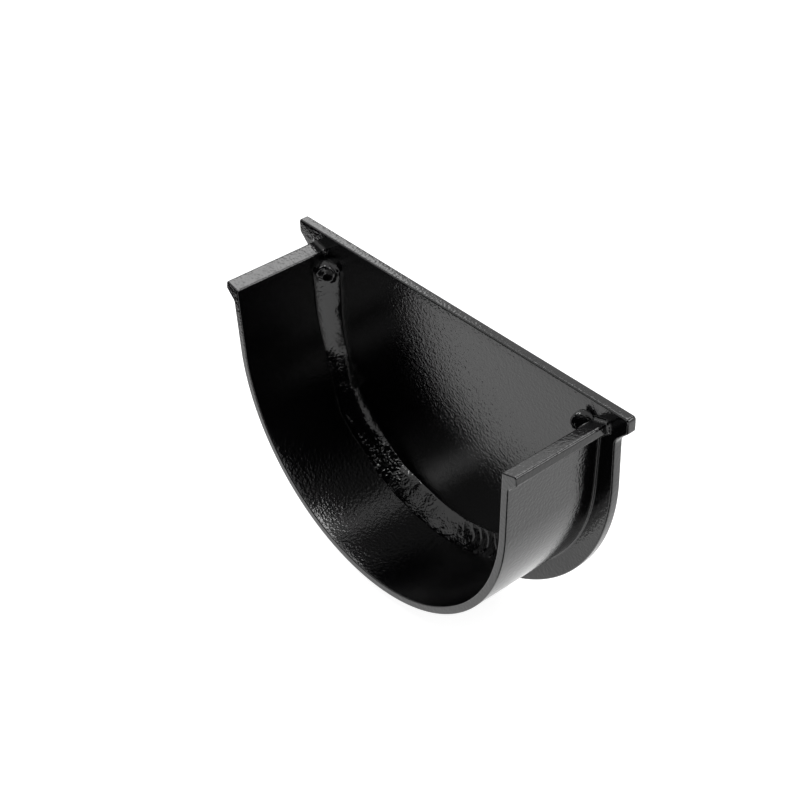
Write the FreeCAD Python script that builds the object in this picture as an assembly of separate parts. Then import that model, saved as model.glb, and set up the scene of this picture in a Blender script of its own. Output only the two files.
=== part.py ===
"""End cap for a half-round gutter with deep sides, welded from aluminium and coated in one go.

The frame is in millimetres. X runs across the gutter and Y along it, with the plate's outer face
at Y = 0 and the open end towards -Y. Z is up, and Z = 0 is the centre of the gutter's half round.

end_plate       flat plate that closes the gutter, with an ear at each top corner
gutter_section  short length of gutter with an out-turned lip along each top edge
weld_bead       weld laid in the inner corner between the two, from the right lip to the left one
"""
import FreeCAD, Part
import math
import os

# Overall
overall_depth = 33.0
edge_bevel = 0.4

# Gutter section
section_radius = 53.3
wall = 2.3
side_lean = 2.7
lip_height = 17.0
lip_width = 4.9
lip_top_slope = 15.5
lip_face = 2.6
lip_face_lean = 8.0
lip_under_slope = 43.0
lip_round = 0.8
lip_root_round = 1.2

# End plate
plate_thickness = 2.8
plate_above_lip = 3.65
rim = 5.2
ear_reach = 4.0
ear_end = 4.1
ear_under_slope = 45.0
ear_round = 1.0
ear_root_round = 4.0
joint_cove = 0.6

# Weld bead
bead_on_plate = 5.2
bead_on_wall = 5.3
bead_swell = 1.25
bead_start_below_lip = 1.0
bead_end_below_lip = 2.0
bead_taper = 4.5
bead_nose = 0.1
bead_end_swell = 0.12
bead_wander = 0.08
bead_wander_length = 23.0
ripple_pitch = 4.1
ripple_height = 0.5
ripple_bow = 2.2
ripple_rise = 0.16
ripple_crest = 0.55
ripple_back = 0.8
points_across_bead = 7

# Lump where the bead starts and crater where it ends
lump_radius = 3.4
lump_from_wall = 1.6
lump_from_plate = 1.5
lump_from_start = 0.4
crater_radius = 2.4
crater_depth = 0.9
crater_from_end = 3.6

# Nearer than this, two things touch
touching = 1e-4

# Worked out from the above
section_length = overall_depth - plate_thickness
section_inner_radius = section_radius - wall
plate_top = lip_height + lip_width * math.sin(math.radians(lip_top_slope)) + plate_above_lip
plate_half_width = section_radius + rim
ear_half_width = plate_half_width + ear_reach
core_length = 2 * joint_cove


def point(x, z, y=0.0):
    """A point of the cap from its place across, its height and its place along the gutter."""
    return FreeCAD.Vector(x, y, z)


def towards(start, angle, length):
    """The point that lies a length away from the start, at an angle in degrees up from +X."""
    turn = math.radians(angle)
    return start + point(math.cos(turn), math.sin(turn)) * length


def meet(start_a, angle_a, start_b, angle_b):
    """Where two lines cross that each run through a point at an angle."""
    along_a = towards(point(0, 0), angle_a, 1.0)
    along_b = towards(point(0, 0), angle_b, 1.0)
    gap = start_b - start_a
    share = gap.x * along_b.z - gap.z * along_b.x
    return start_a + along_a * (share / (along_a.x * along_b.z - along_a.z * along_b.x))


def rounded_path(corners):
    """Edges from the first corner to the last. Each corner is a point and its radius."""
    edges = []
    last = corners[0][0]
    for before, (corner, radius), after in zip(corners, corners[1:-1], corners[2:]):
        back = (before[0] - corner).normalize()
        ahead = (after[0] - corner).normalize()
        half_turn = back.getAngle(ahead) / 2
        reach = radius / math.tan(half_turn)
        middle = (back + ahead).normalize() * (radius / math.sin(half_turn) - radius)
        edges.append(Part.makeLine(last, corner + back * reach))
        edges.append(Part.Arc(corner + back * reach, corner + middle, corner + ahead * reach).toShape())
        last = corner + ahead * reach
    edges.append(Part.makeLine(last, corners[-1][0]))
    return edges


def mirrored(edges):
    """The same edges on the other side of the cap's middle plane, in the opposite order."""
    return [edge.mirror(point(0, 0), point(1, 0)) for edge in reversed(edges)]


def half_round(radius, lean):
    """The arc under the two sides, from the left one to the right one, for sides that lean outwards."""
    left = towards(point(0, 0), 180 + lean, radius)
    right = towards(point(0, 0), -lean, radius)
    return Part.Arc(left, point(0, -radius), right).toShape()


def side_point(radius, height):
    """The point at a height on the right side that runs up from a half round of the radius."""
    lean = math.radians(side_lean)
    return point((radius + height * math.sin(lean)) / math.cos(lean), height)


def pulled(edges, start, length):
    """A solid made by pulling a closed outline along the gutter from one place towards the back."""
    outline = Part.Wire(Part.__sortEdges__(edges))
    outline.translate(FreeCAD.Vector(0, start, 0))
    return Part.Face(outline).extrude(FreeCAD.Vector(0, length, 0))


def edges_across(shape, place, keep=None):
    """The edges of a shape that lie in the plane across the gutter at a place along it."""
    flat = [e for e in shape.Edges if abs(e.BoundBox.YMin - place) + abs(e.BoundBox.YMax - place) < touching]
    return [e for e in flat if keep is None or keep(e)]


def lip_corners():
    """The right lip's four corners: inner edge, outer edge, foot of its face and where it joins the wall."""
    inner = side_point(section_inner_radius, lip_height)
    outer = towards(inner, lip_top_slope, lip_width)
    foot = towards(outer, -90 + lip_face_lean, lip_face)
    root = meet(foot, lip_under_slope, side_point(section_radius, 0), 90 - side_lean)
    return inner, outer, foot, root


def section_edges():
    """The closed outline of the gutter section, with its lips' corners rounded."""
    inner, outer, foot, root = lip_corners()
    right = rounded_path([
        (towards(point(0, 0), -side_lean, section_radius), 0),
        (root, lip_root_round),
        (foot, lip_round),
        (outer, lip_round),
        (inner, lip_round),
        (towards(point(0, 0), -side_lean, section_inner_radius), 0),
    ])
    arcs = [half_round(section_radius, side_lean), half_round(section_inner_radius, side_lean)]
    return arcs + right + mirrored(right)


def filled_section_edges():
    """The section's outer outline, closed straight across from lip to lip."""
    inner, outer, foot, root = lip_corners()
    right = rounded_path([
        (towards(point(0, 0), -side_lean, section_radius), 0),
        (root, lip_root_round),
        (foot, lip_round),
        (outer, lip_round),
        (inner, 0),
    ])
    across = Part.makeLine(inner, point(-inner.x, inner.z))
    return [half_round(section_radius, side_lean), across] + right + mirrored(right)


def plate_edges():
    """The closed outline of the end plate, with its ears."""
    top = point(ear_half_width, plate_top)
    ear_foot = top - point(0, ear_end)
    ear_root = meet(ear_foot, ear_under_slope, point(plate_half_width, 0), 90)
    right = rounded_path([
        (point(plate_half_width, 0), 0),
        (ear_root, ear_root_round),
        (ear_foot, ear_round),
        (top, ear_round),
        (point(0, plate_top), 0),
    ])
    return [half_round(plate_half_width, 0)] + right + mirrored(right)


def at_rim(edge):
    """True for an edge on the plate's own outline, seen by where its middle lies."""
    middle = edge.valueAt((edge.FirstParameter + edge.LastParameter) / 2)
    outline = Part.Wire(Part.__sortEdges__(plate_edges()))
    return Part.Vertex(point(middle.x, middle.z)).distToShape(outline)[0] < touching


def make_end_plate():
    """The plate with bevelled rims, and a cove on its inner face round the outside of the section."""
    plate = pulled(plate_edges(), 0, -plate_thickness)
    core = pulled(filled_section_edges(), -plate_thickness, -core_length)
    joined = plate.fuse(core).removeSplitter()

    def at_core_foot(edge):
        """True for an edge that runs round the core, other than the one across the gutter's hollow."""
        middle = edge.valueAt((edge.FirstParameter + edge.LastParameter) / 2)
        on_core = Part.Vertex(middle).distToShape(core)[0] < touching
        across_hollow = abs(middle.x) < touching and middle.z > 0
        return on_core and not across_hollow

    joined = joined.makeFillet(joint_cove, edges_across(joined, -plate_thickness, at_core_foot))
    plate = joined.cut(core).removeSplitter()
    rims = edges_across(plate, 0) + edges_across(plate, -plate_thickness, at_rim)
    return plate.makeChamfer(edge_bevel, rims)


def make_gutter_section():
    """The gutter section with its open end's edges softened."""
    section = pulled(section_edges(), -plate_thickness, -section_length)
    return section.makeChamfer(edge_bevel, edges_across(section, -overall_depth))


def bead_path():
    """The inner corner that the bead follows: the run down, the way round the half round and the run up."""
    foot = -section_inner_radius * math.sin(math.radians(side_lean))
    start = lip_height - bead_start_below_lip
    end = lip_height - bead_end_below_lip
    scale = math.cos(math.radians(side_lean))
    first_run = (start - foot) / scale
    last_run = (end - foot) / scale
    arc = section_inner_radius * math.radians(180 - 2 * side_lean)
    return first_run, arc, last_run


def corner_at(distance):
    """The corner's place and inward direction at a distance along the bead, from its right end."""
    first_run, arc, last_run = bead_path()
    travelled = min(max(distance - first_run, 0), arc)
    angle = -side_lean - math.degrees(travelled / section_inner_radius)
    outward = towards(point(0, 0), angle, 1.0)
    ahead = towards(point(0, 0), angle - 90, 1.0)
    straight = min(distance - first_run, 0) + max(distance - first_run - arc, 0)
    return outward * section_inner_radius + ahead * straight, outward * -1


def in_corner(distance, from_wall, from_plate):
    """The point beside the bead's path that stands off the wall and off the plate by the two amounts."""
    place, inward = corner_at(distance)
    return place + inward * from_wall + FreeCAD.Vector(0, -plate_thickness - from_plate, 0)


def bead_size(distance, height):
    """How large the bead is, as a share: rounded off at its ends, wandering a little, and rippled."""
    length = sum(bead_path())
    from_end = min(distance, length - distance, bead_taper) / bead_taper
    nose = math.sqrt(max(1 - (1 - from_end) ** 2, bead_nose ** 2))
    wander = bead_wander * math.sin(2 * math.pi * distance / bead_wander_length)
    swell = bead_end_swell * math.exp(-((length - distance - crater_from_end) / bead_taper) ** 2)
    return nose * (1 + wander + swell + height * ripple_height / bead_on_plate)


def bead_reach(turn, size):
    """How far the bead's free face is from the corner, at an angle from the plate towards the wall."""
    on_plate = (math.cos(turn) / bead_on_plate) ** bead_swell
    on_wall = (math.sin(turn) / bead_on_wall) ** bead_swell
    return size / (on_plate + on_wall) ** (1 / bead_swell)


def bead_outline(distance, height):
    """The bead's closed cross-section, whose free edge is bowed back towards the bead's start."""
    size = bead_size(distance, height)
    length = sum(bead_path())
    bow = ripple_bow * min(distance, length - distance, bead_taper) / bead_taper
    free = []
    for step in range(points_across_bead):
        share = step / (points_across_bead - 1)
        turn = math.radians(90 * share)
        reach = bead_reach(turn, size)
        bowed = distance - bow * math.sin(2 * turn)
        free.append(in_corner(bowed, reach * math.cos(turn), reach * math.sin(turn)))
    corner = in_corner(distance, 0, 0)
    curve = Part.BSplineCurve()
    curve.interpolate(free)
    return Part.Wire([curve.toShape(), Part.makeLine(free[-1], corner), Part.makeLine(corner, free[0])])


def make_weld_bead(plate, section):
    """The bead: overlapping ripples, each with a steep edge towards the start and a long back."""
    length = sum(bead_path())
    ripples = round(length / ripple_pitch)
    pitch = length / ripples
    outlines = [bead_outline(0, 0)]
    for ripple in range(ripples):
        foot = ripple * pitch
        if ripple:
            outlines.append(bead_outline(foot, 0))
        outlines.append(bead_outline(foot + ripple_rise * pitch, 1))
        outlines.append(bead_outline(foot + ripple_crest * pitch, ripple_back))
    outlines.append(bead_outline(length, 0))
    bead = Part.makeLoft(outlines, True, True)

    middle = in_corner(lump_from_start, lump_from_wall, lump_from_plate)
    foot = -math.degrees(math.asin(lump_from_plate / lump_radius))
    lump = Part.makeSphere(lump_radius, middle, FreeCAD.Vector(0, -1, 0), foot, 90)
    bead = bead.fuse(lump.cut(section).cut(plate))

    turn = math.radians(45)
    at_crater = length - crater_from_end
    out = bead_reach(turn, bead_size(at_crater, 0)) + crater_radius - crater_depth
    crater = Part.makeSphere(crater_radius, in_corner(at_crater, out * math.cos(turn), out * math.sin(turn)))
    return bead.cut(crater)


def main():
    """Build each piece and write it to its own file."""
    os.makedirs("parts", exist_ok=True)
    plate = make_end_plate()
    section = make_gutter_section()
    pieces = {
        "end_plate": plate,
        "gutter_section": section,
        "weld_bead": make_weld_bead(plate, section),
    }
    for name, shape in pieces.items():
        solid = shape.Solids[0]
        solid.exportStep(f"parts/{name}.step")
        box = solid.BoundBox
        print(f"{name}: {len(shape.Solids)} solid, valid {solid.isValid()}, {solid.Volume:.1f} mm3, "
              f"{len(solid.Faces)} faces, {box.XLength:.2f} x {box.YLength:.2f} x {box.ZLength:.2f} mm")


main()
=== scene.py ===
"""Looks of a welded gutter end cap in gloss black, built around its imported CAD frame.

Metres, in the frame's own axes: X across the gutter, Y along it with the plate's outer face at
Y = 0 and the open end towards -Y, Z up with the half round's centre at Z = 0.
"""
import logging
from dataclasses import dataclass
from enum import Enum
from typing import Any, Sequence

import bmesh
import bpy
import numpy as np
from mathutils import Matrix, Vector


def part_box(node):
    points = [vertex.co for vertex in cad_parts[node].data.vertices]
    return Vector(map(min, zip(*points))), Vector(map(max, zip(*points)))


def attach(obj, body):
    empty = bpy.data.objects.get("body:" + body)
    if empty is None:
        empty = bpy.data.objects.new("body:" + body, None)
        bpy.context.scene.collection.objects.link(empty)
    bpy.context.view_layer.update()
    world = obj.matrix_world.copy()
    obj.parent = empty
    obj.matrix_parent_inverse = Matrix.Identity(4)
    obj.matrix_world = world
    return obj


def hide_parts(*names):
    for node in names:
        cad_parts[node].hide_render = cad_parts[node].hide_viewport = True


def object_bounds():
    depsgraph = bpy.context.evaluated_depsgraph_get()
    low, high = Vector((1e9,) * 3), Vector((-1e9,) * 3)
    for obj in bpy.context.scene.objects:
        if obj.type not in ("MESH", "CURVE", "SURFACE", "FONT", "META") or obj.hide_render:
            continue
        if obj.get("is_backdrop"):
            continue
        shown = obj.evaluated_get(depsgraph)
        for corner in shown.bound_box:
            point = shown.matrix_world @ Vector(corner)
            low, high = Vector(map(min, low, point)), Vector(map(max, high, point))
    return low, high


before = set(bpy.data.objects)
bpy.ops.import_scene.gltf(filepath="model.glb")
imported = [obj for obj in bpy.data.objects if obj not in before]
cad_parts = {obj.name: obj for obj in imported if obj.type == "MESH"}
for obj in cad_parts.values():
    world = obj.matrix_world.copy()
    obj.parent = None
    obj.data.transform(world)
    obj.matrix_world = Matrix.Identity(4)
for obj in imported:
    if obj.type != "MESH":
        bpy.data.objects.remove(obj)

Array = np.ndarray
Patch = tuple[Array, bool, bool]
LOG = logging.getLogger("gutter_end_cap")

MM = 0.001
MERGE = 0.001 * MM
BODY = "root"
SEED = 33


def linear(colour: str) -> tuple[float, float, float, float]:
    """Turn an sRGB colour written as six hex digits into linear values.

    A channel at or below 0.04045 is divided by 12.92, and one above it is
    ((channel + 0.055) / 1.055) to the power 2.4.

    Args:
        colour: The colour, such as "1A1A1C".

    Returns:
        Red, green and blue in linear light, and an alpha of 1.
    """
    channels = np.array([int(colour[at:at + 2], 16) for at in (0, 2, 4)]) / 255
    low, high = channels / 12.92, ((channels + 0.055) / 1.055) ** 2.4
    red, green, blue = np.where(channels <= 0.04045, low, high)
    return float(red), float(green), float(blue), 1.0


def towards(start: Array, angle: float, length: float) -> Array:
    """Return the point a length away from the start, at an angle in degrees up from +X."""
    turn = np.radians(angle)
    return start + length * np.array([np.cos(turn), np.sin(turn)])


def rounded(corners: Sequence[Array], radii: Sequence[float], steps: int = 10) -> Array:
    """Draw a line through corners and round each of them off.

    A corner with half angle h and radius r gives way to an arc that starts r / tan(h) before it
    and ends as far after it, about a centre r / sin(h) away on the line that halves the corner.

    Args:
        corners: The corners in order, each as x and z.
        radii: Each corner's radius; the first and the last corner stay sharp.
        steps: Number of segments in each arc.

    Returns:
        The points of the rounded line, one row each.
    """
    parts = [corners[0][None]]
    for before, corner, after, radius in zip(corners, corners[1:-1], corners[2:], radii[1:-1]):
        back = (before - corner) / np.linalg.norm(before - corner)
        ahead = (after - corner) / np.linalg.norm(after - corner)
        half = np.arccos(np.clip(back @ ahead, -1, 1)) / 2
        middle = (back + ahead) / np.linalg.norm(back + ahead)
        centre = corner + middle * radius / np.sin(half)
        first = corner + back * radius / np.tan(half) - centre
        last = corner + ahead * radius / np.tan(half) - centre
        share = np.linspace(0, 1, steps + 1)[:, None]
        sweep = np.pi - 2 * half
        arc = (np.sin((1 - share) * sweep) * first + np.sin(share * sweep) * last) / np.sin(sweep)
        parts.append(centre + arc)
    parts.append(corners[-1][None])
    return np.concatenate(parts)


def spaced(line: Array, count: int) -> Array:
    """Place points at equal steps along a line.

    Args:
        line: The line's points.
        count: Number of points wanted.

    Returns:
        The new points, with both ends kept.
    """
    step = np.linalg.norm(np.diff(line, axis=0), axis=1)
    along = np.concatenate([[0], np.cumsum(step)])
    wanted = np.linspace(0, along[-1], count)
    return np.stack([np.interp(wanted, along, line[:, axis]) for axis in (0, 1)], axis=1)


def outward_normals(loop: Array) -> Array:
    """Give a closed loop's normals, away from what it encloses.

    The loop runs with its inside on the left, so the normal is the direction of travel turned
    right by 90 degrees: (travel z, -travel x).

    Args:
        loop: Points of the loop, one row each.

    Returns:
        One unit vector for each point.
    """
    travel = np.roll(loop, -1, axis=0) - np.roll(loop, 1, axis=0)
    travel /= np.linalg.norm(travel, axis=1, keepdims=True)
    return np.stack([travel[:, 1], -travel[:, 0]], axis=1)


def quarter_round(steps: int) -> tuple[Array, Array]:
    """Give a quarter circle of radius 1 between two faces at right angles.

    Args:
        steps: Number of segments.

    Returns:
        1 - cos t and 1 - sin t for turns t from 0 to 90 degrees.
    """
    turn = np.linspace(0, np.pi / 2, steps + 1)
    return 1 - np.cos(turn), 1 - np.sin(turn)


def smooth_step(share: Array) -> Array:
    """Ease a share s from 0 to 1 as 3s squared minus 2s cubed, which is level at both ends."""
    return share ** 2 * (3 - 2 * share)


def lattice_noise(first: Array, second: Array, cells: tuple[float, float], seed: int) -> Array:
    """Smooth noise over two coordinates.

    Random values between -1 and 1 sit on a lattice that repeats after 256 cells. Between them the
    value is blended by the smooth step in both directions.

    Args:
        first: First coordinate, any shape.
        second: Second coordinate, of the same shape.
        cells: Distance between lattice points in each coordinate.
        seed: Picks the random values.

    Returns:
        The noise, in the coordinates' shape.
    """
    size = 256
    values = np.random.default_rng(seed).uniform(-1, 1, (size, size))
    u, v = first / cells[0], second / cells[1]
    left, low = np.floor(u).astype(int), np.floor(v).astype(int)
    across, up = smooth_step(u - left), smooth_step(v - low)
    right, high = (left + 1) % size, (low + 1) % size
    left, low = left % size, low % size
    below = values[left, low] * (1 - across) + values[right, low] * across
    above = values[left, high] * (1 - across) + values[right, high] * across
    return below * (1 - up) + above * up


def make_mesh(name: str, patches: Sequence[Patch]) -> bpy.types.Object:
    """Make one object from several grids of points.

    Each grid of rows and columns becomes quads between neighbours. Points that coincide are merged,
    faces left without area go, and the normals are turned outwards.

    Args:
        name: The object's name.
        patches: For each grid, its points as rows by columns by 3, and whether its rows and its
            columns close on themselves.

    Returns:
        The new object, smooth shaded, at the origin.
    """
    points, quads, offset = [], [], 0
    for grid, rows_close, columns_close in patches:
        rows, columns = grid.shape[:2]
        index = np.arange(rows * columns).reshape(rows, columns)
        index = np.concatenate([index, index[:1]]) if rows_close else index
        index = np.concatenate([index, index[:, :1]], axis=1) if columns_close else index
        quad = np.stack([index[:-1, :-1], index[1:, :-1], index[1:, 1:], index[:-1, 1:]], axis=-1)
        points.append(grid.reshape(-1, 3))
        quads.append(quad.reshape(-1, 4) + offset)
        offset += rows * columns
    mesh = bpy.data.meshes.new(name)
    mesh.from_pydata(np.concatenate(points), [], np.concatenate(quads).tolist())
    shape = bmesh.new()
    shape.from_mesh(mesh)
    bmesh.ops.remove_doubles(shape, verts=shape.verts, dist=MERGE)
    bmesh.ops.dissolve_degenerate(shape, edges=shape.edges, dist=MERGE)
    bmesh.ops.recalc_face_normals(shape, faces=shape.faces)
    shape.to_mesh(mesh)
    shape.free()
    mesh.shade_smooth()
    piece = bpy.data.objects.new(name, mesh)
    bpy.context.scene.collection.objects.link(piece)
    return piece


def lift(line: Array, y: Array | float) -> Array:
    """Put points given as x and z into space at a place along the gutter."""
    return np.stack([line[..., 0], np.broadcast_to(y, line.shape[:-1]), line[..., 1]], axis=-1)


def add_node(tree: bpy.types.NodeTree, kind: str, settings: dict[str, Any] | None = None,
             inputs: dict[str, Any] | None = None) -> bpy.types.Node:
    """Add a node with its settings, values and links.

    Args:
        tree: The tree that gets the node.
        kind: The node's type, such as "ShaderNodeBump".
        settings: Attributes of the node by name.
        inputs: What goes into its inputs by name: an output socket is linked, anything else set.

    Returns:
        The new node.
    """
    node = tree.nodes.new(kind)
    for name, value in (settings or {}).items():
        setattr(node, name, value)
    for name, value in (inputs or {}).items():
        if isinstance(value, bpy.types.NodeSocket):
            tree.links.new(value, node.inputs[name])
        else:
            node.inputs[name].default_value = value
    return node


def cleared_tree(owner: bpy.types.Material | bpy.types.World) -> bpy.types.NodeTree:
    """Turn on the nodes of a material or a world and return its tree, emptied."""
    owner.use_nodes = True
    owner.node_tree.nodes.clear()
    return owner.node_tree


def facing_axes(away: Array) -> Array:
    """Give the axes of something whose back points along a direction and whose side is level.

    Args:
        away: The direction, of any length but not straight up or down.

    Returns:
        Unit vectors to its side, up and back, as columns.
    """
    back = away / np.linalg.norm(away)
    side = np.cross([0.0, 0.0, 1.0], back)
    side /= np.linalg.norm(side)
    return np.stack([side, np.cross(back, side), back], axis=1)


def placed(place: Array, axes: Array) -> Matrix:
    """Turn a place and three axes, given as columns, into an object's matrix."""
    return Matrix.Translation(place.tolist()) @ Matrix(axes.tolist()).to_4x4()


def showing_rays(tree: bpy.types.NodeTree) -> bpy.types.NodeSocket:
    """Tell the rays that show a surface from those that only carry its light.

    Args:
        tree: The tree that gets the nodes.

    Returns:
        A value of 1 for a ray from the camera or by way of gloss or glass, and 0 for any other.
    """
    path = add_node(tree, "ShaderNodeLightPath").outputs
    shown = path["Is Camera Ray"]
    for kind in ("Is Glossy Ray", "Is Transmission Ray"):
        larger = add_node(tree, "ShaderNodeMath", {"operation": "MAXIMUM"},
                          {0: shown, 1: path[kind]})
        shown = larger.outputs["Value"]
    return shown


@dataclass(frozen=True)
class PowderCoat:
    """Gloss black polyester powder coat, stoved on aluminium.

    The eye sees a deep black that mirrors its surroundings, broken up by orange peel: shallow
    swellings about a millimetre across that formed as the powder melted.
    """

    colour: str = "030304"
    roughness: float = 0.14
    ior: float = 1.52
    peel_size: float = 0.8 * MM
    peel_depth: float = 0.08 * MM
    grain_size: float = 0.35 * MM
    grain_depth: float = 0.014 * MM

    def material(self) -> bpy.types.Material:
        """Make the material: two bumps in object space under one glossy shader."""
        material = bpy.data.materials.new("gloss_black_powder_coat")
        tree = cleared_tree(material)
        place = add_node(tree, "ShaderNodeTexCoord").outputs["Object"]
        peel = add_node(tree, "ShaderNodeTexNoise", inputs={
            "Vector": place, "Scale": 1 / self.peel_size, "Detail": 1.5, "Roughness": 0.5})
        grain = add_node(tree, "ShaderNodeTexNoise", inputs={
            "Vector": place, "Scale": 1 / self.grain_size, "Detail": 0.0})
        fine = add_node(tree, "ShaderNodeBump", inputs={
            "Height": grain.outputs["Fac"], "Strength": 1.0, "Distance": self.grain_depth})
        bump = add_node(tree, "ShaderNodeBump", inputs={
            "Height": peel.outputs["Fac"], "Strength": 1.0, "Distance": self.peel_depth,
            "Normal": fine.outputs["Normal"]})
        coat = add_node(tree, "ShaderNodeBsdfPrincipled", inputs={
            "Base Color": linear(self.colour), "Roughness": self.roughness, "IOR": self.ior,
            "Normal": bump.outputs["Normal"]})
        add_node(tree, "ShaderNodeOutputMaterial", inputs={"Surface": coat.outputs["BSDF"]})
        return material


@dataclass(frozen=True)
class Profile:
    """The gutter's cross-section: a half round, two sides that lean out and a lip on each.

    Leans and slopes are in degrees. The level is a height on the side, below the lip.
    """

    radius: float = 53.3 * MM
    wall: float = 2.3 * MM
    lean: float = 2.7
    lip_height: float = 17.0 * MM
    lip_width: float = 4.9 * MM
    lip_top_slope: float = 15.5
    lip_face: float = 2.6 * MM
    lip_face_lean: float = 8.0
    lip_foot: float = 2.8 * MM
    lip_round: float = 0.7 * MM
    lip_root_round: float = 1.4 * MM
    level: float = 10.0 * MM
    lip_points: int = 90
    side_points: int = 24
    arc_points: int = 150

    @property
    def inner_radius(self) -> float:
        """Radius of the half round's inner face."""
        return self.radius - self.wall

    def on_side(self, radius: float, height: float) -> Array:
        """Point at a height on the right side that runs up from a half round of the radius."""
        lean = np.radians(self.lean)
        return np.array([(radius + height * np.sin(lean)) / np.cos(lean), height])

    def right_half(self) -> tuple[Array, Array]:
        """Draw the right half's outer and inner faces, from the middle of the lip's top down.

        Returns:
            The two faces as lines of paired points that start together on the lip's top.
        """
        inner = self.on_side(self.inner_radius, self.lip_height)
        outer = towards(inner, self.lip_top_slope, self.lip_width)
        foot = towards(outer, -90 + self.lip_face_lean, self.lip_face)
        root = self.on_side(self.radius, foot[1] - self.lip_foot)
        tip = (inner + outer) / 2
        radii = [0, self.lip_round, self.lip_round, self.lip_root_round, 0]
        faces = []
        for radius, corners, rounds in (
            (self.radius, [tip, outer, foot, root], radii),
            (self.inner_radius, [tip, inner], [0, self.lip_round, 0]),
        ):
            level = self.on_side(radius, self.level)
            lip = spaced(rounded([*corners, level], rounds), self.lip_points)
            turns = np.radians(np.linspace(-self.lean, -90, self.arc_points))
            arc = radius * np.stack([np.cos(turns), np.sin(turns)], axis=1)
            side = np.linspace(level, arc[0], self.side_points)
            faces.append(np.concatenate([lip[:-1], side[:-1], arc]))
        return faces[0], faces[1]

    def faces(self) -> tuple[Array, Array]:
        """Draw the outer and the inner face as paired points, from the left lip to the right."""
        halves = self.right_half()
        outer, inner = (np.concatenate([half * [-1, 1], half[-2::-1]]) for half in halves)
        return outer, inner

    def loop(self) -> Array:
        """Draw the closed outline: the outer face to the right lip, then the inner face back."""
        outer, inner = self.faces()
        return np.concatenate([outer, inner[-2:0:-1]])


@dataclass
class GutterSection:
    """The short length of gutter that laps the end of the real one."""

    profile: Profile
    plate_face: float
    open_end: float
    edge_round: float = 0.35 * MM
    round_steps: int = 8
    length_steps: int = 30
    wall_steps: int = 8

    def rings(self) -> Array:
        """Carry the outline along the gutter and round its front edge off.

        At a turn t of the rounding the outline is drawn in by r (1 - cos t) and stands
        r (1 - sin t) behind the open end.

        Returns:
            Grid of places along the gutter by points of the outline.
        """
        loop = self.profile.loop()
        normals = outward_normals(loop)
        inset, behind = quarter_round(self.round_steps)
        straight = np.linspace(self.plate_face, self.open_end + self.edge_round, self.length_steps)
        places = np.concatenate([straight[:-1], self.open_end + self.edge_round * behind])
        inset = np.concatenate([np.zeros(self.length_steps - 1), self.edge_round * inset])
        outline = loop[None] - normals[None] * inset[:, None, None]
        return lift(outline, places[:, None])

    def end_face(self, ring: Array) -> Array:
        """Fill the wall between an outline's outer and inner face with straight steps across.

        Args:
            ring: The outline's points, as one of the rings holds them.

        Returns:
            Grid of steps from the outer to the inner face by places along the faces.
        """
        count = len(self.profile.faces()[0])
        outer = ring[:count]
        inner = np.concatenate([ring[:1], ring[:count - 1:-1], ring[count - 1:count]])
        share = np.linspace(0, 1, self.wall_steps + 1)[:, None, None]
        return outer[None] * (1 - share) + inner[None] * share

    def build(self, coat: bpy.types.Material) -> bpy.types.Object:
        """Make and dress the section."""
        rings = self.rings()
        patches = [(rings, False, True)]
        patches += [(self.end_face(ring), False, False) for ring in (rings[0], rings[-1])]
        piece = make_mesh("gutter_section_coated", patches)
        piece.data.materials.append(coat)
        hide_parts("gutter_section")
        return piece


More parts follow.
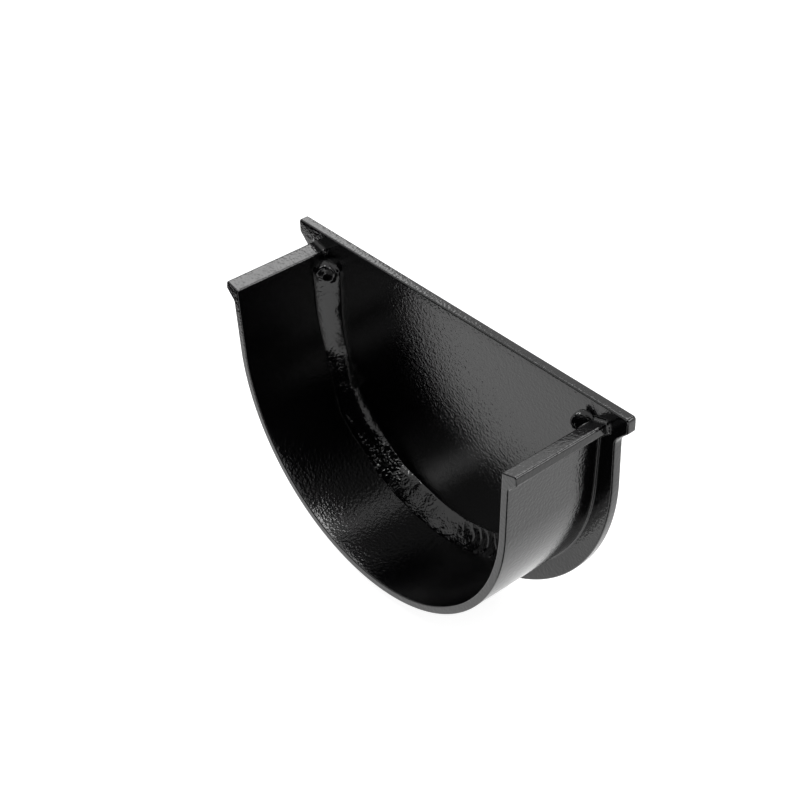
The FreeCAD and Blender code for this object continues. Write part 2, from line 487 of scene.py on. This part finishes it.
@dataclass
class EndPlate:
    """The plate that closes the gutter, with its ears and the cove of coating round the section."""

    profile: Profile
    thickness: float
    top: float
    ear_half_width: float
    rim: float = 5.2 * MM
    ear_end: float = 4.1 * MM
    ear_under_slope: float = 45.0
    ear_round: float = 1.0 * MM
    ear_root_round: float = 4.0 * MM
    coat_build: float = 0.3 * MM
    off_centre: float = -0.3 * MM
    back_round: float = 0.4 * MM
    front_round: float = 0.5 * MM
    cove: float = 0.5 * MM
    lip_cove: float = 0.9 * MM
    lip_cove_depth: float = 3.0 * MM
    cove_sink: float = 0.3 * MM
    round_steps: int = 8
    cove_steps: int = 10
    arc_points: int = 220
    ear_points: int = 70
    top_points: int = 60
    side_points: int = 12
    face_rings: int = 12
    hub_depth: float = 0.25

    def outline(self) -> Array:
        """Draw the plate's outline, anticlockwise from the middle of its top.

        Each half is the straight top, the ear and the side with their corners rounded, and a
        quarter of the arc of the plate's own radius. The coating that gathers on the edges makes
        the plate larger all round, and it sits a little off the section's centre.

        Returns:
            The closed loop's points.
        """
        wider = self.coat_build + abs(self.off_centre)
        half_width = self.profile.radius + self.rim + wider
        top = np.array([self.ear_half_width + wider, self.top + self.coat_build])
        foot = top - [0, self.ear_end]
        reach = top[0] - half_width
        root = foot - [reach, reach * np.tan(np.radians(self.ear_under_slope))]
        side = np.array([half_width, 0])
        middle = np.array([0, top[1]])
        shoulder = np.array([half_width, root[1] - self.ear_root_round])
        ear_start = top - [self.ear_end, 0]
        ear = rounded([ear_start, top, foot, root, shoulder],
                      [0, self.ear_round, self.ear_round, self.ear_root_round, 0])
        turns = np.radians(np.linspace(0, -90, self.arc_points))
        arc = half_width * np.stack([np.cos(turns), np.sin(turns)], axis=1)
        right = np.concatenate([
            np.linspace(middle, ear_start, self.top_points)[:-1],
            spaced(ear, self.ear_points)[:-1],
            np.linspace(shoulder, side, self.side_points)[:-1],
            arc,
        ])
        left = right * [-1, 1]
        return np.concatenate([left[:-1], right[:0:-1]]) + [self.off_centre, 0]

    def shell(self) -> list[Patch]:
        """Carry the outline through the plate's thickness, round both rims and fill the faces.

        A face shrinks the rim's last ring towards a hub inside it by shares from 1 down to 0. The
        hub's depth below the section's centre is a share of the section's radius.

        Returns:
            The rim's grid and the two faces' grids.
        """
        outline = self.outline()
        normals = outward_normals(outline)
        inset, depth = quarter_round(self.round_steps)
        back, front = -self.back_round * depth[::-1], self.front_round * depth - self.thickness
        place = np.concatenate([back, front])
        inset = np.concatenate([self.back_round * inset[::-1], self.front_round * inset])
        rim = lift(outline[None] - normals[None] * inset[:, None, None], place[:, None])
        hub = np.array([0, -self.hub_depth * self.profile.radius])
        share = np.linspace(1, 0, self.face_rings)[:, None, None]
        patches = [(rim, False, True)]
        for ring, y in ((rim[0], place[0]), (rim[-1], place[-1])):
            shrunk = hub + (ring[:, [0, 2]] - hub)[None] * share
            patches.append((lift(shrunk, y), False, True))
        return patches

    def cove_ring(self) -> Patch:
        """Carry the cove's profile round the whole section.

        At a turn t its free face stands r (1 - sin t) off the wall and r (1 - cos t) off the plate.
        The rest of the profile is sunk in the metal. The radius r grows towards the lips as the
        smooth step, because coating gathers round their corners.

        Returns:
            The closed grid of the profile by the section's outline.
        """
        loop = self.profile.loop()
        normals = outward_normals(loop)
        from_plate, from_wall = quarter_round(self.cove_steps)
        lip_foot = self.profile.lip_height - self.lip_cove_depth
        share = np.clip((loop[:, 1] - lip_foot) / self.lip_cove_depth, 0, 1)
        size = self.cove + (self.lip_cove - self.cove) * smooth_step(share)
        sunk = np.full((1, len(loop)), -self.cove_sink)
        off_wall = np.concatenate([from_wall[:, None] * size, sunk, sunk, size[None]])
        off_plate = np.concatenate([from_plate[:, None] * size, size[None], sunk, sunk])
        line = loop[None] + normals[None] * off_wall[..., None]
        return lift(line, -self.thickness - off_plate), True, True

    def build(self, coat: bpy.types.Material) -> bpy.types.Object:
        """Make and dress the plate."""
        piece = make_mesh("end_plate_coated", [*self.shell(), self.cove_ring()])
        piece.data.materials.append(coat)
        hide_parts("end_plate")
        return piece


@dataclass
class WeldBead:
    """The weld in the inner corner, laid from the right lip round to the left one.

    The legs on the plate and on the wall are in millimetres. They and the swell are given at
    shares of the path, and the fading and the rough stretch lie at shares of it too. A cell is
    one of a noise: so many ripples along the path by so many radians about the corner.
    """

    profile: Profile
    plate_face: float
    on_plate: tuple[tuple[float, float], ...] = (
        (0.0, 5.9), (0.59, 5.9), (0.63, 4.6), (0.71, 5.1), (0.78, 4.5), (0.9, 4.8), (1.0, 6.0))
    on_wall: tuple[tuple[float, float], ...] = (
        (0.0, 4.8), (0.43, 4.9), (0.62, 5.7), (0.69, 5.8), (0.75, 6.4), (0.79, 5.0), (0.85, 4.6),
        (0.93, 5.1), (1.0, 5.0))
    swell: tuple[tuple[float, float], ...] = (
        (0.0, 1.3), (0.3, 1.08), (0.66, 1.08), (0.72, 1.8), (0.80, 1.8), (0.84, 1.3), (1.0, 1.3))
    start_below_lip: float = 0.4 * MM
    end_below_lip: float = 2.0 * MM
    taper: float = 3.0 * MM
    toe_wobble: float = 0.03
    toe_wobble_length: float = 4.0 * MM
    toe_wobble_turn: float = 0.8
    ripple_pitch: float = 3.6 * MM
    ripple_height: float = 0.14 * MM
    ripple_base: float = 0.4
    ripple_bow: float = 5.0 * MM
    ripple_bow_share: float = 0.92
    ripple_rise: float = 0.18
    ripple_unevenness: float = 0.30
    ripple_cell: tuple[float, float] = (1.3, 0.5)
    strength_unevenness: float = 0.6
    strength_cell: tuple[float, float] = (1.0, 0.6)
    ripples_fade: tuple[float, float] = (0.42, 0.54)
    faded_ripples: float = 0.04
    bump_size: float = 1.6 * MM
    bump_height: float = 0.055 * MM
    calm_bumps: float = 0.35
    bumps_spread: float = 6.0
    rough_middle: float = 0.66
    rough_reach: float = 0.03
    rough_size: float = 0.45 * MM
    rough_height: float = 0.36 * MM
    crater_radius: float = 1.4 * MM
    crater_depth: float = 0.7 * MM
    crater_from_end: float = 3.2 * MM
    rim_height: float = 0.35 * MM
    rim_place: float = 1.7
    rim_width: float = 0.5
    rim_unevenness: float = 0.9
    lump_radius: float = 3.4 * MM
    lump_from_wall: float = 1.6 * MM
    lump_from_plate: float = 1.5 * MM
    lump_from_start: float = 1.0 * MM
    lump_unevenness: float = 0.25
    lump_noise_size: float = 0.8
    lump_noise_start: float = 9.0
    lump_face: tuple[float, float, float] = (0.58, -0.57, 0.58)
    lump_flatness: float = 0.68
    lump_rings: int = 40
    lump_columns: int = 64
    sink: float = 0.3 * MM
    step: float = 0.16 * MM
    face_points: int = 48

    def runs(self) -> tuple[float, float, float]:
        """Lengths of the path: down the right side, round the half round and up the left side."""
        lean = np.radians(self.profile.lean)
        foot = -self.profile.inner_radius * np.sin(lean)
        heights = self.profile.lip_height - np.array([self.start_below_lip, self.end_below_lip])
        down, up = (heights - foot) / np.cos(lean)
        return float(down), float(self.profile.inner_radius * (np.pi - 2 * lean)), float(up)

    def corner(self, along: Array) -> tuple[Array, Array]:
        """Follow the inner corner between plate and wall.

        The path runs straight down the side, then turns about the half round's centre, then runs
        straight up. On the straights it goes on in the direction that it has at the arc's ends.

        Args:
            along: Distances from the path's start.

        Returns:
            For each distance the corner's x and z, and the direction away from the wall.
        """
        down, arc, _ = self.runs()
        radius = self.profile.inner_radius
        turned = np.clip(along - down, 0, arc)
        angle = -np.radians(self.profile.lean) - turned / radius
        outward = np.stack([np.cos(angle), np.sin(angle)], axis=-1)
        ahead = np.stack([np.sin(angle), -np.cos(angle)], axis=-1)
        straight = np.minimum(along - down, 0) + np.maximum(along - down - arc, 0)
        return outward * radius + ahead * straight[..., None], -outward

    def legs(self, share: Array) -> tuple[Array, Array]:
        """Work out the bead's size on the plate and on the wall, between the places given.

        Args:
            share: Shares of the path.

        Returns:
            The leg on the plate and the leg on the wall at each share.
        """
        sizes = (np.array(self.on_plate).T, np.array(self.on_wall).T)
        plate, wall = (np.interp(share, places, leg) * MM for places, leg in sizes)
        return plate, wall

    def reach(self, along: Array, turn: Array) -> Array:
        """Work out how far the bead's face is from the corner.

        The plain section is a rounded triangle: ((cos t / a)^k + (sin t / b)^k)^(-1/k) for its
        legs a on the plate and b on the wall. It is scaled by a round nose at both ends and a
        wobble of its toes, and gets the ripples, bumps, roughness and the crater on top.

        Args:
            along: Distances along the path.
            turn: Angles from the plate towards the wall.

        Returns:
            The reach for each pair.
        """
        length = sum(self.runs())
        plate, wall = self.legs(along / length)
        swell = np.interp(along / length, *np.array(self.swell).T)
        plain = ((np.cos(turn) / plate) ** swell + (np.sin(turn) / wall) ** swell) ** (-1 / swell)
        from_end = np.clip(np.minimum(along, length - along) / self.taper, 0, 1)
        nose = np.sqrt(1 - (1 - from_end) ** 2)
        wobble_cell = (self.toe_wobble_length, self.toe_wobble_turn)
        wobble = self.toe_wobble * lattice_noise(along, turn, wobble_cell, SEED)
        shape = plain * (1 + wobble) + self.ripples(along, turn) + self.bumps(along, turn, plain)
        return nose * (shape + self.crater(along, turn, plain))

    def ripples(self, along: Array, turn: Array) -> Array:
        """Height of the ripples, which overlap like round shingles and fade as the metal gets hot.

        An edge follows part of an ellipse across the bead, with its crown towards the start. From
        the edge the height climbs as a smooth step over the first part of a ripple, and then sinks
        as 1 minus the square of the way gone. A base is taken off, so that the valleys between
        the ripples lie below the plain bead.

        Args:
            along: Distances along the path.
            turn: Angles from the plate towards the wall.

        Returns:
            The height for each pair.
        """
        across = turn / (np.pi / 4) - 1
        bow = self.ripple_bow * np.sqrt(1 - (self.ripple_bow_share * across) ** 2)
        uneven = lattice_noise(along / self.ripple_pitch, turn, self.ripple_cell, SEED + 1)
        phase = (along + bow) / self.ripple_pitch + self.ripple_unevenness * uneven
        part = phase - np.floor(phase)
        climb = smooth_step(np.clip(part / self.ripple_rise, 0, 1))
        first, last = self.ripples_fade
        cool = np.clip((last - along / sum(self.runs())) / (last - first), 0, 1)
        strength = self.faded_ripples + (1 - self.faded_ripples) * cool
        uneven = lattice_noise(np.floor(phase), turn, self.strength_cell, SEED + 2)
        strength = strength * (1 + self.strength_unevenness * uneven)
        return self.ripple_height * strength * (climb * (1 - part ** 2) - self.ripple_base)

    def bumps(self, along: Array, turn: Array, plain: Array) -> Array:
        """Small uneven swellings left where the melt froze, and one stretch that froze rough.

        The rough stretch is strewn with grains, which are the squares of a noise's positive values.
        It fades to both sides as the bell curve exp(-d squared) of the distance d from its middle,
        in units of its reach. The swellings keep a calm share of their height everywhere, and gain
        the rest towards that middle by the wider bell curve exp(-d squared / spread).

        Args:
            along: Distances along the path.
            turn: Angles from the plate towards the wall.
            plain: The plain section's reach for each pair.

        Returns:
            The height for each pair.
        """
        across = turn * np.mean(plain)
        coarse = lattice_noise(along, across, (self.bump_size, self.bump_size), SEED + 3)
        fine = lattice_noise(along, across, (self.bump_size / 2, self.bump_size / 2), SEED + 4)
        away = (along / sum(self.runs()) - self.rough_middle) / self.rough_reach
        grains = lattice_noise(along, across, (self.rough_size, self.rough_size), SEED + 7)
        lively = (1 - self.calm_bumps) * np.exp(-away ** 2 / self.bumps_spread)
        return (self.bump_height * (coarse + fine / 2) * (self.calm_bumps + lively)
                + self.rough_height * np.maximum(grains, 0) ** 2 * np.exp(-away ** 2))

    def crater(self, along: Array, turn: Array, plain: Array) -> Array:
        """Hollow with an uneven raised rim, where the arc was broken off.

        Both are bell curves of the distance from the crater's middle. The rim's place and width
        are in units of the crater's radius.

        Args:
            along: Distances along the path.
            turn: Angles from the plate towards the wall.
            plain: The plain section's reach for each pair.

        Returns:
            The height for each pair.
        """
        length = sum(self.runs())
        across = (turn - np.pi / 4) * plain
        away = np.hypot(along - (length - self.crater_from_end), across)
        hollow = self.crater_depth * np.exp(-(away / self.crater_radius) ** 2)
        from_rim = (away / self.crater_radius - self.rim_place) / self.rim_width
        rim = self.rim_height * np.exp(-from_rim ** 2)
        uneven = lattice_noise(along, across, (self.crater_radius, self.crater_radius), SEED + 9)
        return rim * (1 + self.rim_unevenness * uneven) - hollow

    def bead_grid(self) -> Patch:
        """Carry the section along the path; behind its face it is sunk a little into the metal."""
        length = sum(self.runs())
        along = np.linspace(0, length, int(length / self.step))[:, None]
        turn = np.linspace(0, np.pi / 2, self.face_points)[None]
        along, turn = np.broadcast_arrays(along, turn)
        reach = self.reach(along, turn)
        from_wall, from_plate = reach * np.cos(turn), reach * np.sin(turn)
        sunk = np.full(len(along), -self.sink)
        from_wall = np.column_stack([from_wall, sunk, sunk, from_wall[:, 0]])
        from_plate = np.column_stack([from_plate, from_plate[:, -1], sunk, sunk])
        along = np.column_stack([along, along[:, 0], along[:, 0], along[:, 0]])
        place, inward = self.corner(along)
        line = place + inward * from_wall[..., None]
        return lift(line, self.plate_face - from_plate), False, True

    def lump(self) -> Patch:
        """Make the uneven lump beside the bead's start.

        Its radius is r (1 + noise) over the two angles that go round it and from pole to pole. It
        is flattened by taking away a share of each point's way along the direction that it faces.
        What would stand behind the plate's face is pressed flat just under it. The noise is the
        mean of two, each over two coordinates of the unit sphere plus a fixed start.

        Returns:
            The lump's grid.
        """
        place, inward = self.corner(np.array(self.lump_from_start))
        centre = lift(place + inward * self.lump_from_wall, self.plate_face - self.lump_from_plate)
        down = np.linspace(0, np.pi, self.lump_rings)[:, None]
        around = np.linspace(0, 2 * np.pi, self.lump_columns, endpoint=False)[None]
        normal = np.stack([np.sin(down) * np.cos(around), np.sin(down) * np.sin(around),
                           np.cos(down) * np.ones_like(around)], axis=-1)
        x, y, z = np.moveaxis(normal, -1, 0) + self.lump_noise_start
        cells = (self.lump_noise_size, self.lump_noise_size)
        noise = (lattice_noise(x, y, cells, SEED + 5) + lattice_noise(y, z, cells, SEED + 6)) / 2
        offset = normal * (self.lump_radius * (1 + self.lump_unevenness * noise))[..., None]
        face = np.array(self.lump_face) / np.linalg.norm(self.lump_face)
        points = centre + offset - self.lump_flatness * (offset @ face)[..., None] * face
        points[..., 1] = np.minimum(points[..., 1], self.plate_face + self.sink)
        return points, False, True

    def build(self, coat: bpy.types.Material) -> bpy.types.Object:
        """Make and dress the weld."""
        piece = make_mesh("weld_bead_coated", [self.bead_grid(), self.lump()])
        piece.data.materials.append(coat)
        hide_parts("weld_bead")
        return piece


class Facing(Enum):
    """Which way a card faces: at the object's middle, or straight up from the table."""

    OBJECT = "object"
    UP = "up"


@dataclass(frozen=True)
class SoftBox:
    """A square or oblong panel of even light."""

    name: str
    direction: tuple[float, float, float]
    distance: float
    size: tuple[float, float]
    radiance: float

    def build(self, middle: Sequence[float]) -> bpy.types.Object:
        """Hang the panel and set its power, which is radiance times area times pi."""
        light = bpy.data.lights.new(self.name, "AREA")
        light.shape = "RECTANGLE"
        light.size, light.size_y = self.size
        light.energy = self.radiance * self.size[0] * self.size[1] * np.pi
        lamp = bpy.data.objects.new(self.name, light)
        axes = facing_axes(np.array(self.direction))
        lamp.matrix_world = placed(np.array(middle) + axes[:, 2] * self.distance, axes)
        lamp.visible_camera = False
        bpy.context.scene.collection.objects.link(lamp)
        return lamp


@dataclass(frozen=True)
class PaperAndShade:
    """Matt sheet without any shine: black paper for the cards, and grey painted shade for the
    table's shaded patch.
    """

    name: str = "matt_black_paper"
    colour: str = "0A0A0A"

    def material(self) -> bpy.types.Material:
        """Make the material: one even colour."""
        material = bpy.data.materials.new(self.name)
        tree = cleared_tree(material)
        sheet = add_node(tree, "ShaderNodeBsdfPrincipled", inputs={
            "Base Color": linear(self.colour), "Roughness": 1.0, "Specular IOR Level": 0.0})
        add_node(tree, "ShaderNodeOutputMaterial", inputs={"Surface": sheet.outputs["BSDF"]})
        return material


@dataclass(frozen=True)
class Card:
    """A sheet that only the object's gloss shows, as wide and high as its size says; most are black
    paper, and one is grey painted shade on the table.
    """

    name: str
    place: tuple[float, float, float]
    size: tuple[float, float]
    facing: Facing = Facing.OBJECT
    paper_and_shade: PaperAndShade = PaperAndShade()

    def build(self, middle: Sequence[float]) -> bpy.types.Object:
        """Stand the card at its place, turned to the object's middle, or lay it down there."""
        place = np.array(self.place)
        side, up = np.array([1.0, 0.0, 0.0]), np.array([0.0, 1.0, 0.0])
        if self.facing is Facing.OBJECT:
            side, up, _ = facing_axes(place - middle).T
        across, upwards = side * self.size[0] / 2, up * self.size[1] / 2
        rows = [[place - upwards - across, place - upwards + across],
                [place + upwards - across, place + upwards + across]]
        card = make_mesh(self.name, [(np.array(rows), False, False)])
        card.data.materials.append(self.paper_and_shade.material())
        card.visible_camera = card.visible_diffuse = card.visible_shadow = False
        card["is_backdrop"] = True
        return card


@dataclass(frozen=True)
class Studio:
    """White table and surroundings, three black cards, a grey sheet of painted shade on the table,
    and six soft panels.
    """

    table_top: float
    middle: tuple[float, float, float] = (0.0, -0.016, -0.018)
    table_size: float = 6.0
    table_colour: str = "C2C2C2"
    table_glow: float = 0.87
    fill: float = 0.42
    cards: tuple[Card, ...] = (
        Card("card_by_camera", (0.390, -0.735, 0.400), (1.60, 0.90)),
        Card("card_in_front", (-0.060, -0.130, -0.026), (0.30, 0.063)),
        Card("card_at_left", (-0.690, -0.575, 0.020), (0.60, 0.25)),
        # Grey painted shade: this sheet stands for the shaded patch of table beside the object, as
        # the gloss mirrors it.
        Card("painted_table_shade_card", (0.1125, -0.075, -0.0575), (0.105, 0.11), Facing.UP,
             PaperAndShade("painted_table_shade", "5A5A5A")),
    )
    boxes: tuple[SoftBox, ...] = (
        SoftBox("overhead_box", (-0.290, 0.444, 0.848), 0.94, (0.50, 0.24), 5.4),
        SoftBox("top_box", (0.10, 0.29, 0.95), 0.9, (0.22, 0.22), 9.0),
        SoftBox("low_back_box", (-0.726, 0.419, 0.545), 1.0, (0.25, 0.25), 3.0),
        SoftBox("left_box", (-0.736, 0.103, 0.669), 1.0, (0.30, 0.30), 2.5),
        SoftBox("front_box", (-0.06, -0.46, 0.88), 0.8, (0.15, 0.15), 12.0),
        SoftBox("right_box", (0.67, 0.47, 0.57), 1.0, (0.30, 0.30), 6.0),
    )

    def surroundings(self) -> None:
        """Make the world white where it shows, and dimmer as a light."""
        world = bpy.data.worlds.new("white_studio")
        bpy.context.scene.world = world
        tree = cleared_tree(world)
        strength = add_node(tree, "ShaderNodeMapRange", inputs={
            "Value": showing_rays(tree), "To Min": self.fill, "To Max": 1.0})
        light = add_node(tree, "ShaderNodeBackground", inputs={
            "Color": linear("FFFFFF"), "Strength": strength.outputs["Result"]})
        add_node(tree, "ShaderNodeOutputWorld", inputs={"Surface": light.outputs["Background"]})

    def table(self) -> bpy.types.Object:
        """Lay the table: matt paint that keeps the shadow, with a glow where it shows."""
        half = self.table_size / 2
        corners = np.array([[[-half, -half], [half, -half]], [[-half, half], [half, half]]])
        grid = np.concatenate([corners, np.full((2, 2, 1), self.table_top)], axis=-1)
        table = make_mesh("table", [(grid, False, False)])
        material = bpy.data.materials.new("matt_white_table")
        tree = cleared_tree(material)
        glow = add_node(tree, "ShaderNodeMath", {"operation": "MULTIPLY"}, {
            0: showing_rays(tree), 1: self.table_glow})
        paint = add_node(tree, "ShaderNodeBsdfPrincipled", inputs={
            "Base Color": linear(self.table_colour), "Roughness": 0.9,
            "Emission Color": linear("FFFFFF"), "Emission Strength": glow.outputs["Value"]})
        add_node(tree, "ShaderNodeOutputMaterial", inputs={"Surface": paint.outputs["BSDF"]})
        table.data.materials.append(material)
        table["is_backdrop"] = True
        return table

    def build(self) -> None:
        """Set up everything around the object."""
        self.surroundings()
        self.table()
        for card in self.cards:
            card.build(self.middle)
            LOG.info("stood up %s", card.name)
        for box in self.boxes:
            box.build(self.middle)
            LOG.info("hung %s", box.name)


@dataclass(frozen=True)
class Viewpoint:
    """The camera, with its angles in degrees and its lens and sensor in millimetres."""

    place: tuple[float, float, float] = (271.121 * MM, -238.889 * MM, 264.587 * MM)
    azimuth: float = 51.119
    elevation: float = 36.943
    roll: float = -2.343
    lens: float = 76.017
    sensor: float = 36.0
    nearest: float = 0.01
    farthest: float = 20.0

    def build(self) -> bpy.types.Object:
        """Place the camera.

        Its back axis is (sin a cos e, -cos a cos e, sin e). Its right axis is (cos a, sin a, 0),
        and the roll turns that and the up axis about the back axis.
        """
        a, e, r = np.radians([self.azimuth, self.elevation, self.roll])
        back = np.array([np.sin(a) * np.cos(e), -np.cos(a) * np.cos(e), np.sin(e)])
        level = np.array([np.cos(a), np.sin(a), 0.0])
        upright = np.cross(back, level)
        right = np.cos(r) * level + np.sin(r) * upright
        up = np.cos(r) * upright - np.sin(r) * level
        data = bpy.data.cameras.new("camera")
        data.lens = self.lens
        data.sensor_width = self.sensor
        data.clip_start, data.clip_end = self.nearest, self.farthest
        camera = bpy.data.objects.new("camera", data)
        axes = np.stack([right, up, back], axis=1)
        camera.matrix_world = placed(np.array(self.place), axes)
        bpy.context.scene.collection.objects.link(camera)
        bpy.context.scene.camera = camera
        return camera


def main() -> None:
    """Build the end cap's pieces in order, then what stands around it."""
    logging.basicConfig(level=logging.INFO, format="%(name)s: %(message)s")
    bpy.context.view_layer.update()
    _, plate_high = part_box("end_plate")
    section_low, section_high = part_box("gutter_section")
    plate_face = section_high.y

    coat = PowderCoat().material()
    profile = Profile()
    pieces = [
        EndPlate(profile, -plate_face, plate_high.z, plate_high.x).build(coat),
        GutterSection(profile, plate_face, section_low.y).build(coat),
        WeldBead(profile, plate_face).build(coat),
    ]
    for piece in pieces:
        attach(piece, BODY)
        LOG.info("%s: %d faces", piece.name, len(piece.data.polygons))
    bpy.context.view_layer.update()

    lowest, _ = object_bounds()
    Studio(table_top=lowest.z).build()
    Viewpoint().build()
    bpy.context.scene.view_settings.view_transform = "Standard"
    bpy.context.view_layer.update()


if __name__ == "__main__":
    main()
